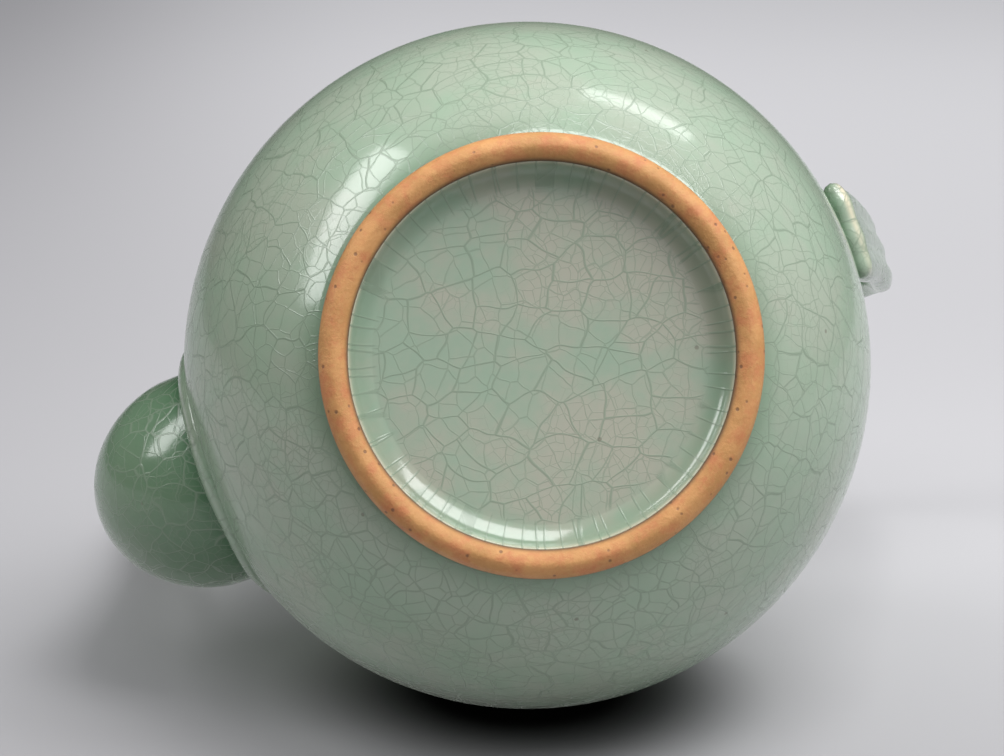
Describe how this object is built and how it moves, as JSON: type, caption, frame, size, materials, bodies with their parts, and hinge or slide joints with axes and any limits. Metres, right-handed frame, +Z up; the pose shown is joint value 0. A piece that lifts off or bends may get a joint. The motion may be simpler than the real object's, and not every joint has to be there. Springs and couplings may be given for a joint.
{
  "type": "double gourd ewer",
  "caption": "Glazed double gourd ewer with a tall curved spout, a ridged strap handle, a bare clay foot ring and a lift-off lid with a stem knob.",
  "frame": {"origin": "centre of the foot ring, on the plane that the ewer stands on", "axes": "+Z up along the gourd's axis, spout towards -X, handle towards +X"},
  "size_m": [0.1857, 0.14, 0.239],
  "materials": {
    "celadon_glaze": "glossy crackled celadon glaze over stoneware",
    "bare_stoneware": "matt, unglazed, fired orange-brown"
  },
  "bodies": {
    "ewer": {"foot_ring": "bare_stoneware", "lower_bulb": "celadon_glaze", "upper_bulb": "celadon_glaze", "neck_collar": "celadon_glaze", "spout": "celadon_glaze", "spout_collar": "celadon_glaze", "handle_strap": "celadon_glaze", "handle_foot_roll": "celadon_glaze", "handle_head_pad": "celadon_glaze", "handle_cord_loop": "celadon_glaze"},
    "lid": {"lid_dome": "celadon_glaze", "lid_sleeve": "bare_stoneware", "lid_stem_knob": "celadon_glaze", "lid_cord_loop": "celadon_glaze"}
  },
  "joints": [
    {"name": "lid_lift", "type": "slide", "parent": "ewer", "child": "lid", "axis": [0, 0, 1], "range_m": [0, 0.06]}
  ]
}
